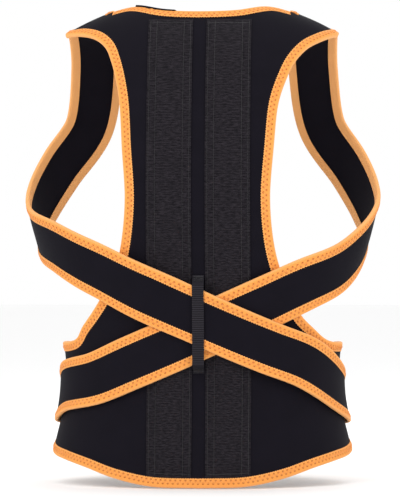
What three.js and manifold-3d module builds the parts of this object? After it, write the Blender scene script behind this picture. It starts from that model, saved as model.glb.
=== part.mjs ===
// A posture and lower back brace in the shape it takes when worn: a neoprene vest back that grows out of a
// wrap-round waist belt, and two long straps that run over the shoulders, under the arms and across the back
// to the opposite hip, where they wrap onto the belt's front. Every raw edge is bound with folded tape.
// Millimetres. +X is the wearer's right, +Y is the way the wearer faces, +Z is up, and the origin is the
// middle of the waist.
import * as THREE from "three";
import { mergeVertices } from "three/addons/utils/BufferGeometryUtils.js";
import Module from "manifold-3d";

const wasm = await Module();
wasm.setup();

// ---- Driving dimensions ----

// The wearer's trunk.
const waistHalfWidth = 143;
const waistHalfDepth = 101;
const flatness = 2.3; // exponent of the trunk's outline: 2 is an ellipse, more is flatter at back and front
const springHeight = 200; // above this the trunk closes over into the shoulders
const ridgeHeight = 405; // the shoulders' ridge, carried to the middle
const ridgeFall = 0.002; // how fast the ridge falls outwards, per mm
// Stations up the trunk: height, and how much wider and deeper it is than the waist, and its middle's place.
const stations = [
  { z: -140, wider: 23, deeper: 17, middle: -2 },
  { z: -80, wider: 13, deeper: 11, middle: -1 },
  { z: -15, wider: 0, deeper: 1, middle: 1 },
  { z: 45, wider: 3, deeper: 0, middle: 0 },
  { z: 110, wider: 21, deeper: 8, middle: -3 },
  { z: 190, wider: 42, deeper: 19, middle: -4 },
  { z: 300, wider: 58, deeper: 14, middle: -6 },
  { z: 410, wider: 62, deeper: 10, middle: -8 },
];

// Cloth, tape and hardware.
const neoprene = 2.6; // thickness of every panel and strap
const tape = 0.6; // thickness of the binding tape
const bindingWidth = 10; // how far the folded tape reaches in from the edge
const tuck = 0.6; // air between the tape and the neoprene inside it
const layerGap = 0.7; // air between one layer of the brace and the next
const seamGap = 0.5; // air between two pieces sewn edge to edge
const hingeGap = 1.2; // air where the wings are cut apart from the back's belt, so that they swing clear

// The belt.
const hemBack = -111;
const hemSweep = 17; // how much of the hem's climb to the front it makes between the pockets and the sides
const hemFront = -62;
const beltTop = 39;
const beltTopFront = 28;
const wingOverlap = 70; // how far the two wings lie over each other at the front
const closureLift = 3; // air that the hook and loop closure takes up between the two wings

// The vest back.
const cornerReach = waistHalfWidth - 12; // where the belt's top edge turns up into the armhole
const seamInner = 93; // the shoulder seam's neck end, from the middle
const seamOuter = 143; // its arm end
const seamArch = 80; // where on the arch from back to ridge (90) the shoulder seam lies, in degrees
// The armhole's edge, as [from the middle, share of the height from the belt's top to the ridge].
const armholeLower = {
  left: [
    [122, 0.046], [111, 0.09], [101, 0.134], [88, 0.198], [80, 0.281], [75.5, 0.413], [79, 0.563], [82, 0.68],
  ],
  right: [[118, 0.041], [104, 0.085], [87, 0.189], [78, 0.281], [74, 0.413], [78, 0.563], [82.5, 0.68]],
};
const armholeUpper = {
  left: [[86.5, 0.749], [91.5, 0.798], [98, 0.839], [109, 0.866], [126, 0.88]],
  right: [[90.5, 0.749], [99, 0.798], [112, 0.839], [127, 0.863]],
};
// The neck's edge, as [from the middle, depth below the ridge's height], from the nape out.
const neckEdge = [[0, 20], [38, 18.5], [73, 14.5]];

// The straps.
const strapWidth = 57.5;
const strapSlope = 25.4; // how steeply they cross, in degrees
const crossing = { x: 21, z: 58.5 }; // a point on the left strap's middle, near which they cross
const rightStrapRise = 2.5; // how much higher the right strap passes there

// The pockets beside the spine, and the stays in them.
const pocketWidth = 45;
const pocketGap = 14; // between the two pockets
const pocketCloth = 1;
const pocketHem = 7; // the flat margin that is sewn down, each side
const stayWidth = 22;
const stayThickness = 1;
const stayBottom = -88;
const stayTop = ridgeHeight - 60;
const tipLength = 8;

// The keeper loop.
const keeperWidth = 12.4;
const keeperThickness = 1.4;
const keeperMargin = 11.5; // how far its ends reach past the straps

// The hook and loop.
const hookThickness = 1.2;
const patchHeight = 60;
const tabLength = 42;
const tabWidth = 33;
const tabThickness = 1.6;
const wingHinge = 90; // bearing of the wings' bend, in degrees from the spine
const tailHinge = 108; // bearing where the strap ends peel off the wings
const tailEnd = 148; // bearing where the strap ends stop

// ---- Layers, as heights above the wearer ----
const edgeHeight = neoprene + 2 * (tape + tuck); // a bound edge, from the wearer to its face
const clothLow = tape + tuck;
const clothHigh = clothLow + neoprene;
const stayLow = clothHigh + tuck;
const stayHigh = stayLow + stayThickness;
const pocketHigh = stayHigh + tuck + pocketCloth;
const strapOnPanel = edgeHeight + layerGap;
const strapOnPocket = pocketHigh + layerGap;
const strapOnStrap = strapOnPocket + edgeHeight + layerGap;
const keeperLift = strapOnStrap + edgeHeight + layerGap;

// ---- Materials ----
const cloth = new THREE.MeshStandardMaterial({ name: "neoprene", color: 0x1b1a1f, roughness: 0.85, metalness: 0 });
const orange = new THREE.MeshStandardMaterial({ name: "binding", color: 0xf39a3e, roughness: 0.75, metalness: 0 });
const ribbed = new THREE.MeshStandardMaterial({ name: "pocket", color: 0x2c2a2f, roughness: 0.9, metalness: 0 });
const elastic = new THREE.MeshStandardMaterial({ name: "keeper", color: 0x232227, roughness: 0.8, metalness: 0 });
const steel = new THREE.MeshStandardMaterial({ name: "stay", color: 0xb4b8bd, roughness: 0.35, metalness: 1 });
const plastic = new THREE.MeshStandardMaterial({ name: "tip", color: 0xe8e6e0, roughness: 0.5, metalness: 0 });
const hooks = new THREE.MeshStandardMaterial({ name: "hooks", color: 0x151518, roughness: 0.95, metalness: 0 });

// ---- The trunk ----
const radians = THREE.MathUtils.degToRad;
const smooth = THREE.MathUtils.smoothstep;
const lerp = THREE.MathUtils.lerp;

// One measure of the trunk at a height, as a smooth curve through the stations.
function measure(key, z) {
  const last = stations.length - 1;
  const upper = Math.min(last, Math.max(1, stations.findIndex((s) => s.z > z)));
  const i = z >= stations[last].z ? last - 1 : upper - 1;
  const slope = (k) => {
    const low = stations[Math.max(0, k - 1)];
    const high = stations[Math.min(last, k + 1)];
    return (high[key] - low[key]) / (high.z - low.z);
  };
  const a = stations[i];
  const b = stations[i + 1];
  const span = b.z - a.z;
  const t = THREE.MathUtils.clamp((z - a.z) / span, 0, 1);
  return (
    a[key] * (2 * t ** 3 - 3 * t ** 2 + 1) +
    b[key] * (3 * t ** 2 - 2 * t ** 3) +
    slope(i) * span * (t ** 3 - 2 * t ** 2 + t) +
    slope(i + 1) * span * (t ** 3 - t ** 2)
  );
}

const halfWidth = (z) => waistHalfWidth + measure("wider", z);
const halfDepth = (z) => waistHalfDepth + measure("deeper", z);
const middle = (z) => measure("middle", z);
const ridge = (x) => ridgeHeight - ridgeFall * x * x;

// Below zero inside the trunk, zero on its skin.
function depth(p) {
  const closing = Math.max(0, (p.z - springHeight) / (ridge(p.x) - springHeight));
  const across = Math.abs(p.x / halfWidth(p.z)) ** flatness;
  return ((p.y - middle(p.z)) / halfDepth(p.z)) ** 2 - (1 - across) * (1 - closing * closing);
}

function outward(p) {
  const step = 0.01;
  const gradient = new THREE.Vector3();
  for (const axis of ["x", "y", "z"]) {
    const ahead = p.clone();
    const behind = p.clone();
    ahead[axis] += step;
    behind[axis] -= step;
    gradient[axis] = (depth(ahead) - depth(behind)) / (2 * step);
  }
  return gradient;
}

// The point of the skin nearest to a rough one, raised by a height.
function laid(rough, height = 0) {
  const p = rough.clone();
  for (let turn = 0; turn < 12; turn += 1) {
    const gradient = outward(p);
    p.addScaledVector(gradient, -depth(p) / gradient.lengthSq());
  }
  return p.addScaledVector(outward(p).normalize(), height);
}

// The skin at a bearing round the trunk: 0 is the spine, 90 the right side and 180 the front.
function atBearing(bearing, z) {
  const sine = Math.sin(radians(bearing));
  return new THREE.Vector3(
    halfWidth(z) * Math.sign(sine) * Math.abs(sine) ** (2 / flatness),
    middle(z) - halfDepth(z) * Math.cos(radians(bearing)),
    z,
  );
}

// The skin of the back at a place seen from behind.
function onBack(x, z) {
  const closing = Math.max(0, (z - springHeight) / (ridge(x) - springHeight));
  const across = Math.abs(x / halfWidth(z)) ** flatness;
  const reach = Math.sqrt(Math.max(0, (1 - across) * (1 - closing * closing)));
  return new THREE.Vector3(x, middle(z) - halfDepth(z) * reach, z);
}

// The skin of a shoulder: arch 0 is the back at the spring height, 90 the ridge and 180 the front.
function onShoulder(x, arch) {
  const z = springHeight + (ridge(x) - springHeight) * Math.sin(radians(arch));
  const across = Math.abs(x / halfWidth(z)) ** flatness;
  return new THREE.Vector3(
    x,
    middle(z) - halfDepth(z) * Math.cos(radians(arch)) * Math.sqrt(Math.max(0, 1 - across)),
    z,
  );
}

const sweepBearings = [8, 58]; // the hem sweeps up fastest between these

const hem = (bearing) => lerp(hemBack, hemFront - hemSweep, (1 - Math.cos(radians(bearing))) / 2) +
  hemSweep * smooth(Math.abs(bearing), ...sweepBearings);
const wingTop = (bearing) => lerp(beltTop, beltTopFront, smooth(Math.abs(bearing), 90, 180));

// ---- Making pieces ----
const brace = new THREE.Group();

function add(name, geometry, material) {
  const mesh = new THREE.Mesh(geometry, material);
  mesh.name = name;
  brace.add(mesh);
}

// A sheet of cells with a thickness, whose corners are put where place(column, row, outside) says. Seen from
// outside, columns run to the right and rows run up. has(column, row) says which cells there are, and
// leans(column) which way they are split in two.
function slab(columns, rows, place, has = () => true, leans = () => false) {
  const layer = (columns + 1) * (rows + 1);
  const vertex = (column, row, outside) => (outside ? layer : 0) + row * (columns + 1) + column;
  const positions = [];
  for (const outside of [false, true]) {
    for (let row = 0; row <= rows; row += 1) {
      for (let column = 0; column <= columns; column += 1) {
        const used = [0, 1].some((c) => [0, 1].some((r) => within(column - c, row - r)));
        const spot = used ? place(column, row, outside) : new THREE.Vector3();
        positions.push(spot.x, spot.y, spot.z);
      }
    }
  }
  const index = [];
  const quad = (a, b, c, d, turned) => index.push(...(turned ? [a, b, d, b, c, d] : [a, b, c, a, c, d]));
  function within(column, row) {
    return column >= 0 && row >= 0 && column < columns && row < rows && has(column, row);
  }
  for (let row = 0; row < rows; row += 1) {
    for (let column = 0; column < columns; column += 1) {
      if (!has(column, row)) {
        continue;
      }
      const corners = [[column, row], [column + 1, row], [column + 1, row + 1], [column, row + 1]];
      const outer = corners.map(([c, r]) => vertex(c, r, true));
      const inner = corners.map(([c, r]) => vertex(c, r, false));
      quad(...outer, leans(column));
      quad(...inner.toReversed(), leans(column));
      const neighbours = [[column, row - 1], [column + 1, row], [column, row + 1], [column - 1, row]];
      neighbours.forEach(([c, r], k) => {
        if (!within(c, r)) {
          const next = (k + 1) % 4;
          quad(outer[next], outer[k], inner[k], inner[next], false);
        }
      });
    }
  }
  return new THREE.BufferGeometry()
    .setAttribute("position", new THREE.BufferAttribute(new Float32Array(positions), 3))
    .setIndex(index);
}

// Folded tape round an edge. Each section says where the edge is, which way the cloth lies from it, and how
// high the edge's underside is; the tape is a slab folded over the edge in three columns.
function foldedTape(sections) {
  const fold = (turn, outside) => {
    const inset = outside ? 0 : tape;
    const reach = turn === 0 || turn === 3 ? bindingWidth : inset;
    return { reach, height: turn < 2 ? inset : edgeHeight - inset };
  };
  return slab(3, sections.length - 1, (turn, row, outside) => {
    const section = sections[row];
    const { reach, height } = fold(turn, outside);
    const rough = section.edge.clone().addScaledVector(section.inward, reach);
    return laid(rough, section.lift(rough) + height);
  });
}

const noLift = () => 0;

// Sections of a bound edge, at stations (fractions of its length) along a smooth curve through skin points.
// clothOnRight says on which side of the curve, seen from outside, the cloth lies.
function edgeSections(points, stations, clothOnRight, lift = noLift) {
  const curve = new THREE.CatmullRomCurve3(points, false, "centripetal");
  const sections = stations.map((station) => {
    const edge = laid(curve.getPointAt(station));
    const inward = curve.getTangentAt(station).cross(outward(edge)).normalize();
    return { edge, inward: inward.multiplyScalar(clothOnRight ? 1 : -1), lift };
  });
  return clothOnRight ? sections : sections.reverse();
}

// The same, with a section at every point.
function pointSections(points, clothOnRight, lift = noLift) {
  const curve = new THREE.CatmullRomCurve3(points, false, "centripetal");
  const last = points.length - 1;
  const sections = points.map((point, k) => {
    const edge = laid(point);
    const inward = curve.getTangent(k / last).cross(outward(edge)).normalize();
    return { edge, inward: inward.multiplyScalar(clothOnRight ? 1 : -1), lift };
  });
  return clothOnRight ? sections : sections.reverse();
}

// ---- Cutting with manifold-3d ----
function toSolid(geometry) {
  const bare = mergeVertices(geometry.clone().deleteAttribute("normal").deleteAttribute("uv"));
  return new wasm.Manifold(
    new wasm.Mesh({
      numProp: 3,
      vertProperties: new Float32Array(bare.attributes.position.array),
      triVerts: new Uint32Array(bare.index.array),
    }),
  );
}

function toGeometry(solid) {
  const mesh = solid.getMesh();
  return new THREE.BufferGeometry()
    .setAttribute("position", new THREE.BufferAttribute(new Float32Array(mesh.vertProperties), 3))
    .setIndex(new THREE.BufferAttribute(new Uint32Array(mesh.triVerts), 1));
}

// A block that fills the space ahead of an upright plane across the belt at a bearing, moved ahead by shift.
function aheadOf(bearing, shift) {
  const size = 400;
  const seat = atBearing(bearing, 0);
  const ahead = atBearing(bearing + Math.sign(bearing), 0).sub(seat).normalize();
  const block = new THREE.BoxGeometry(size, size, size);
  block.translate(0, size / 2 + shift, 0);
  block.rotateZ(Math.atan2(-ahead.x, ahead.y));
  // It starts at the waist's middle sideways, so that it leaves the other side of the brace alone.
  block.translate(seat.x, seat.y, springHeight / 2 - size / 2);
  return block;
}

function cut(geometry, keepAheadOf, dropAheadOf) {
  let solid = toSolid(geometry);
  if (keepAheadOf) {
    solid = solid.intersect(toSolid(aheadOf(keepAheadOf, seamGap / 2)));
  }
  if (dropAheadOf) {
    solid = solid.subtract(toSolid(aheadOf(dropAheadOf, -seamGap / 2)));
  }
  return toGeometry(solid);
}

// ---- The straps' routes ----
const strapSpacing = 17;
const half = strapWidth / 2;

// Along the middle of the strap that starts on one shoulder, given by its side: over the shoulder, down the
// front, under the arm, across the back and round the other hip to the belt's front.
function strapPoints(from) {
  const rise = Math.tan(radians(strapSlope));
  const middleHeight = crossing.z + (from > 0 ? rightStrapRise : 0);
  const acrossBack = (across) => onBack(-from * across, middleHeight - rise * (across + from * crossing.x));
  return [
    onShoulder(from * ((seamInner + seamOuter) / 2), seamArch),
    onShoulder(from * 117, 105),
    onShoulder(from * 117, 130),
    atBearing(from * 142, 272),
    atBearing(from * 127, 224),
    atBearing(from * 110, 187),
    atBearing(from * 90, 160),
    ...[-150, -110, -70, -25, 25, 70, 105].map(acrossBack),
    atBearing(-from * 72, -9),
    atBearing(-from * 90, -20),
    atBearing(-from * 110, -25),
    atBearing(-from * 130, -26.5),
    atBearing(-from * tailEnd, -27),
  ];
}

const strapCurve = (from) => new THREE.CatmullRomCurve3(strapPoints(from), false, "centripetal");

// Stations along a strap: its middle, the way along it and the way to its right as seen from outside.
function strapFrames(from, start, end, spacing) {
  const curve = strapCurve(from);
  const count = Math.round((end - start) / spacing);
  return Array.from({ length: count + 1 }, (_, k) => {
    const fraction = lerp(start, end, k / count) / curve.getLength();
    const centre = laid(curve.getPointAt(fraction));
    const along = curve.getTangentAt(fraction);
    const right = along.clone().cross(outward(centre)).normalize();
    return { centre, along, right };
  });
}

// A point of the shoulder seam, where the strap is sewn to the vest, at a distance outwards from its middle.
function onSeam(side, distance) {
  const { centre, right } = strapFrames(side, 0, strapSpacing, strapSpacing)[0];
  return laid(centre.addScaledVector(right, side * distance));
}

// The way along the shoulder seam, outwards.
const alongSeam = (side) => onSeam(side, half).sub(onSeam(side, -half)).normalize();

// ---- The vest back and the belt's back, cut as one panel ----
const inset = tape + tuck; // how far the cloth stops short of its bound edge
const vestColumns = 8; // from the spine to one armhole
const neckColumns = 6; // of those, the ones that end at the neck; the rest end at the shoulder seam
const vestRows = 26;
const beltRows = 8;
const sideColumns = 3; // the belt's columns outside the armhole's corner
const cornerDistance = 24; // from the belt's cut edge, along its top, to the armhole's corner

function armholePoints(side) {
  const word = side > 0 ? "right" : "left";
  return [
    atBearing(side * wingHinge, beltTop).add(new THREE.Vector3(0, -hingeGap / 2, 0)),
    onBack(side * (cornerReach + 5), beltTop + 1),
    onBack(side * (cornerReach - 3), beltTop + 5),
    ...[...armholeLower[word], ...armholeUpper[word]].map(([x, share]) =>
      onBack(side * x, lerp(beltTop, ridgeHeight, share))),
    onSeam(side, half),
  ];
}

const neckPoints = [
  onSeam(-1, -half),
  ...neckEdge.slice(1).reverse().map(([x, down]) => onBack(-x, ridgeHeight - down)),
  ...neckEdge.map(([x, down]) => onBack(x, ridgeHeight - down)),
  onSeam(1, -half),
];

// Where the panel's rows and columns end on its bound edges; the tape is folded at the same places.
const armholeLength = (side) =>
  new THREE.CatmullRomCurve3(armholePoints(side), false, "centripetal").getLength();
const cornerStation = { left: cornerDistance / armholeLength(-1), right: cornerDistance / armholeLength(1) };
const cornerOf = (side) => (side < 0 ? cornerStation.left : cornerStation.right);
const vestStation = (side, row) => lerp(cornerOf(side), 1, 1 - (1 - row / vestRows) ** 1.15);
const sideStation = (side, column) => cornerOf(side) * (1 - (column - vestColumns) / sideColumns);
const neckStation = (side, column) => 0.5 + (side * column) / neckColumns / 2;

// A point a little way in from a bound edge.
function insetPoint(points, station, clothOnRight) {
  const [{ edge, inward }] = edgeSections(points, [station], clothOnRight);
  return edge.addScaledVector(inward, inset);
}

const panelEdge = (side, station) => insetPoint(armholePoints(side), station, side < 0);

function bearingOf(x, z) {
  return THREE.MathUtils.radToDeg(Math.asin(Math.min(1, x / halfWidth(z)) ** (flatness / 2)));
}

function beltBearing(side, column) {
  const corner = panelEdge(side, cornerOf(side));
  const cornerBearing = bearingOf(Math.abs(corner.x), corner.z);
  return column <= vestColumns
    ? (cornerBearing * column) / vestColumns
    : lerp(cornerBearing, 90, (column - vestColumns) / sideColumns);
}

function beltTopSpot(side, column) {
  if (column >= vestColumns) {
    return panelEdge(side, sideStation(side, column));
  }
  const z = lerp(beltTop, panelEdge(side, cornerOf(side)).z, (column / vestColumns) ** 2);
  return atBearing(side * beltBearing(side, column), z);
}

function hemSpot(side, column) {
  const bearing = beltBearing(side, column);
  const spot = atBearing(side * bearing, hem(bearing));
  spot.y -= bearing === 90 ? hingeGap / 2 : 0;
  return spot;
}

// The vest's top edge: the neck as far as the shoulder seam, then the seam.
function topSpot(side, column) {
  if (column < neckColumns) {
    return insetPoint(neckPoints, neckStation(side, column), true);
  }
  const along = (column - neckColumns) / (vestColumns - neckColumns);
  return onSeam(side, lerp(seamGap + inset - half, half - inset - seamGap, along));
}

// Half of the belt's back, and half of the vest, spanned between the spine, armhole, belt and top edge.
function beltHalf(side) {
  const columns = vestColumns + sideColumns;
  const tops = Array.from({ length: columns + 1 }, (_, column) => beltTopSpot(side, column));
  const bottoms = Array.from({ length: columns + 1 }, (_, column) => hemSpot(side, column));
  return (column, row) => {
    const bottom = bottoms[column].clone();
    bottom.z += inset;
    return bottom.lerp(tops[column], row / beltRows);
  };
}

function vestHalf(side) {
  const bottoms = Array.from({ length: vestColumns + 1 }, (_, column) => beltTopSpot(side, column));
  const tops = Array.from({ length: vestColumns + 1 }, (_, column) => topSpot(side, column));
  const armhole = Array.from({ length: vestRows + 1 }, (_, row) => panelEdge(side, vestStation(side, row)));
  return (column, row) => {
    if (row === 0) {
      return bottoms[column].clone();
    }
    const u = column / vestColumns;
    const t = row / vestRows;
    const spine = onBack(0, lerp(beltTop, tops[0].z, 1 - (1 - t) ** 1.15));
    const between = (a, b, k) => a.clone().lerp(b, k);
    const fromSides = between(spine, armhole[row], u);
    const fromEnds = between(bottoms[column], tops[column], t);
    const fromCorners = between(
      between(bottoms[0], bottoms[vestColumns], u),
      between(tops[0], tops[vestColumns], u),
      t,
    );
    return fromSides.add(fromEnds).sub(fromCorners);
  };
}

const beltColumns = vestColumns + sideColumns;
const belts = { left: beltHalf(-1), right: beltHalf(1) };
const vests = { left: vestHalf(-1), right: vestHalf(1) };

function panelPlace(column, row, outside) {
  const fromSpine = Math.abs(column - beltColumns);
  const side = column < beltColumns ? "left" : "right";
  const spot = row <= beltRows ? belts[side](fromSpine, row) : vests[side](fromSpine, row - beltRows);
  return laid(spot, outside ? clothHigh : clothLow);
}

const panelHas = (column, row) =>
  row < beltRows || (column >= sideColumns && column < 2 * beltColumns - sideColumns);
const panelLeans = (column) => column >= beltColumns;
add("back_panel", slab(2 * beltColumns, beltRows + vestRows, panelPlace, panelHas, panelLeans), cloth);

const upTo = (count) => Array.from({ length: count + 1 }, (_, k) => k);
const columnsAcross = (columns) => [...upTo(columns).slice(1).reverse().map((k) => -k), ...upTo(columns)];

const neckStations = columnsAcross(neckColumns).map((k) => neckStation(1, k));
const neckSections = edgeSections(neckPoints, neckStations, true);
neckSections[0].inward = alongSeam(-1);
neckSections.at(-1).inward = alongSeam(1);
add("neck_binding", foldedTape(neckSections), orange);

for (const [name, side] of [["left", -1], ["right", 1]]) {
  const onSide = upTo(sideColumns - 1).map((k) => sideStation(side, vestColumns + sideColumns - k));
  const stations = [...onSide, ...upTo(vestRows).map((row) => vestStation(side, row))];
  const sections = edgeSections(armholePoints(side), stations, side < 0);
  sections.at(side < 0 ? -1 : 0).inward = alongSeam(side).negate();
  add(`${name}_armhole_binding`, foldedTape(sections), orange);
}

const hemPoints = columnsAcross(vestColumns + sideColumns).map((k) => hemSpot(k < 0 ? -1 : 1, Math.abs(k)));
add("hem_binding", foldedTape(pointSections(hemPoints, false)), orange);

// ---- The pockets and their stays ----
const pocketRows = 28;
const pocketTop = ridgeHeight - 34;
const pocketBottom = (x) => hem(bearingOf(Math.abs(x), hemBack)) + bindingWidth + layerGap;
const channel = stayWidth / 2 + 1.5; // half the width of the hollow that the stay lies in
const slope = pocketWidth / 2 - pocketHem;

function pocketSpot(middleX, column, row, outside) {
  const across = [-pocketWidth / 2, -slope, -channel, channel, slope, pocketWidth / 2][column];
  const raised = column === 2 || column === 3;
  const low = raised ? stayHigh + tuck : clothHigh + tuck;
  const x = middleX + across;
  return laid(onBack(x, lerp(pocketBottom(x), pocketTop, row / pocketRows)), low + (outside ? pocketCloth : 0));
}

for (const [name, side] of [["left", -1], ["right", 1]]) {
  const middleX = (side * (pocketGap + pocketWidth)) / 2;
  const pocketPlace = (column, row, outside) => pocketSpot(middleX, column, row, outside);
  add(`${name}_pocket`, slab(5, pocketRows, pocketPlace), ribbed);

  const stayPlace = (column, row, outside) => {
    const x = middleX + (column - 0.5) * stayWidth;
    return laid(onBack(x, lerp(stayBottom, stayTop, row / pocketRows)), outside ? stayHigh : stayLow);
  };
  add(`${name}_stay`, slab(1, pocketRows, stayPlace), steel);

  for (const [end, start, away] of [["top", stayTop, 1], ["bottom", stayBottom, -1]]) {
    const rounding = [1, 1, 0.62]; // how wide the tip is at each row, to the stay's width
    const tipPlace = (column, row, outside) => {
      const step = away > 0 ? row : 2 - row;
      const x = middleX + (column - 0.5) * stayWidth * rounding[step];
      const z = start + away * (seamGap + (tipLength * step) / 2);
      return laid(onBack(x, z), outside ? stayHigh : stayLow);
    };
    add(`${name}_stay_${end}_tip`, slab(1, 2, tipPlace), plastic);
  }
}

// ---- The straps ----

const climbBearings = [108, 164]; // where the right wing leaves the trunk to close over the left one
const offShoulders = 250; // above this height a strap lies on the bare wearer, at the back too
const offFront = 70; // and above this one in front
const panelApproach = [-25, 33]; // from the waist's side, where a strap climbs on to the panel
const pocketApproach = [4, 48]; // from the pocket's outer edge
const crossingApproach = [71, 3]; // before the crossing
const crossingClear = 1; // past it, before the top strap starts down

// How far the right wing stands off the trunk.
const rightWingClimb = (bearing) => smooth(bearing, ...climbBearings) * (edgeHeight + closureLift);

// How high a strap's underside runs over the wearer: on the bare back, on the panel, on the pockets, and for
// the one on top, on the other strap.
function strapLift(from, onTop) {
  const pocketEdge = pocketGap / 2 + pocketWidth;
  const crossingHalf = half / Math.sin(radians(strapSlope)); // the straps lie on each other this far each way
  const panelRamp = panelApproach.map((way) => way - waistHalfWidth);
  const pocketRamp = pocketApproach.map((way) => pocketEdge + way);
  const crossingRamp = crossingApproach.map((way) => crossing.x - crossingHalf - way);
  return (p) => {
    const across = -from * p.x;
    if (p.z > offShoulders || (p.z > offFront && p.y > 0)) {
      return 0;
    }
    if (p.y > 0 && across > 0) {
      return strapOnPanel + (from < 0 ? rightWingClimb(180 - bearingOf(Math.abs(p.x), p.z)) : 0);
    }
    const onPanel = smooth(across, ...panelRamp) * strapOnPanel;
    const onPocket = (1 - smooth(Math.abs(p.x), ...pocketRamp)) * (strapOnPocket - strapOnPanel);
    const overOther = smooth(across, ...crossingRamp) *
      (1 - smooth(across, crossing.x + crossingHalf + crossingClear, waistHalfWidth));
    return onPanel + onPocket + (onTop ? overOther * (strapOnStrap - strapOnPocket) : 0);
  };
}

function ribbon(frames, columns, width, low, high, lift) {
  return slab(columns, frames.length - 1, (column, row, outside) => {
    const frame = frames[row];
    const rough = frame.centre.clone().addScaledVector(frame.right, (column / columns - 0.5) * width);
    return laid(rough, lift(rough) + (outside ? high : low));
  });
}

function ribbonTape(frames, side, lift) {
  const sections = frames.map(({ centre, right }) => ({
    edge: centre.clone().addScaledVector(right, side * half),
    inward: right.clone().multiplyScalar(-side),
    lift,
  }));
  return foldedTape(side > 0 ? sections.reverse() : sections);
}

for (const [name, from] of [["left", -1], ["right", 1]]) {
  const hip = from < 0 ? "right" : "left";
  const length = strapCurve(from).getLength();
  const lift = strapLift(from, from < 0);
  const frames = strapFrames(from, 2 * seamGap, length, strapSpacing);
  const last = frames.at(-1);
  const clothEnd = { ...last, centre: last.centre.clone().addScaledVector(last.along, -inset) };
  const pieces = {
    "": ribbon([...frames.slice(0, -1), clothEnd], 4, strapWidth - 2 * inset, clothLow, clothHigh, lift),
    _inner_binding: ribbonTape(frames, -from, lift),
    _outer_binding: ribbonTape(frames, from, lift),
  };
  for (const [part, geometry] of Object.entries(pieces)) {
    const material = part ? orange : cloth;
    add(`${name}_strap${part}`, cut(geometry, null, -from * wingHinge), material);
    add(`${hip}_strap_side${part}`, cut(geometry, -from * wingHinge, -from * tailHinge), material);
    add(`${hip}_tail${part}`, cut(geometry, -from * tailHinge, null), material);
  }

  // The tape across the strap's end, between the two that run along it.
  const reach = half - bindingWidth - seamGap;
  const endSections = [-1, -0.33, 0.33, 1].map((k) => ({
    edge: last.centre.clone().addScaledVector(last.right, k * reach),
    inward: last.along.clone().negate(),
    lift,
  }));
  add(`${hip}_tail_end_binding`, foldedTape(endSections), orange);

  // The hook tab sewn under the strap's end.
  const tabEnd = length - bindingWidth - seamGap;
  const tabHigh = clothLow - tuck;
  const tabFrames = strapFrames(from, tabEnd - tabLength, tabEnd, strapSpacing);
  add(`${hip}_hook_tab`, ribbon(tabFrames, 3, tabWidth, tabHigh - tabThickness, tabHigh, lift), hooks);
}

// ---- The keeper loop over the straps' crossing ----
const keeperRows = 24;
const keeperRise = 9.5; // how far its two ends take to climb onto the straps
const strapReach = Math.tan(radians(strapSlope)) * crossing.x + half / Math.cos(radians(strapSlope));
const keeperBottom = crossing.z + rightStrapRise - strapReach - keeperMargin;
const keeperTop = crossing.z + strapReach + keeperMargin;
add(
  "keeper_loop",
  slab(1, keeperRows, (column, row, outside) => {
    const z = lerp(keeperBottom, keeperTop, row / keeperRows);
    const climb = smooth(z, keeperBottom + 1, keeperBottom + keeperRise) *
      (1 - smooth(z, keeperTop - keeperRise, keeperTop - 1));
    const low = lerp(clothHigh + tuck, keeperLift, climb);
    return laid(onBack((column - 0.5) * keeperWidth, z), low + (outside ? keeperThickness : 0));
  }),
  elastic,
);

// ---- The belt's two wings and their closure ----
const wingCorner = 18; // radius of the wing's end corners
const wingEnd = 180 + bearingOf(wingOverlap / 2, 0);
const perDegree = wingOverlap / 2 / (wingEnd - 180); // millimetres round the belt in a degree, at its front
const wingRows = 6;
// Bearings of the wing's cross rows: evenly as far as the round corners, then closer.
const wingBearings = [
  ...upTo(12).map((k) => lerp(wingHinge, wingEnd - (wingCorner + 2) / perDegree, k / 12)),
  ...[0.75, 0.5, 0.28, 0.12, 0].map((d) => wingEnd - (d * wingCorner) / perDegree),
];

// How far a round corner takes the wing's edge in, at a distance from the wing's end.
function cornerLoss(distance, radius) {
  const short = Math.max(0, radius - Math.max(0, distance));
  return radius - Math.sqrt(radius ** 2 - short ** 2);
}

for (const [name, side] of [["left", -1], ["right", 1]]) {
  const climb = (bearing) => (side > 0 ? rightWingClimb(bearing) : 0);
  const lift = (p) => {
    const sideways = bearingOf(Math.abs(p.x), p.z);
    return climb(side * p.x > 0 ? 180 - sideways : 180 + sideways);
  };
  const wingSpot = (bearing, up, margin) => {
    const endBearing = wingEnd - margin / perDegree;
    const at = Math.min(bearing, endBearing);
    const loss = margin + cornerLoss((endBearing - at) * perDegree, wingCorner - margin);
    const spot = atBearing(side * at, lerp(hem(at) + loss, wingTop(at) - loss, up));
    spot.y += at === wingHinge ? hingeGap / 2 : 0;
    return spot;
  };
  const columns = side > 0 ? wingBearings : wingBearings.toReversed();
  const wingPlace = (column, row, outside) => {
    const spot = wingSpot(columns[column], row / wingRows, inset);
    return laid(spot, lift(spot) + (outside ? clothHigh : clothLow));
  };
  add(`${name}_wing`, slab(columns.length - 1, wingRows, wingPlace), cloth);

  const wingPoints = [
    ...wingBearings.map((bearing) => wingSpot(bearing, 0, 0)),
    wingSpot(wingEnd, 0.5, 0),
    ...wingBearings.toReversed().map((bearing) => wingSpot(bearing, 1, 0)),
  ];
  add(`${name}_wing_binding`, foldedTape(pointSections(wingPoints, side < 0, lift)), orange);
}

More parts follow.
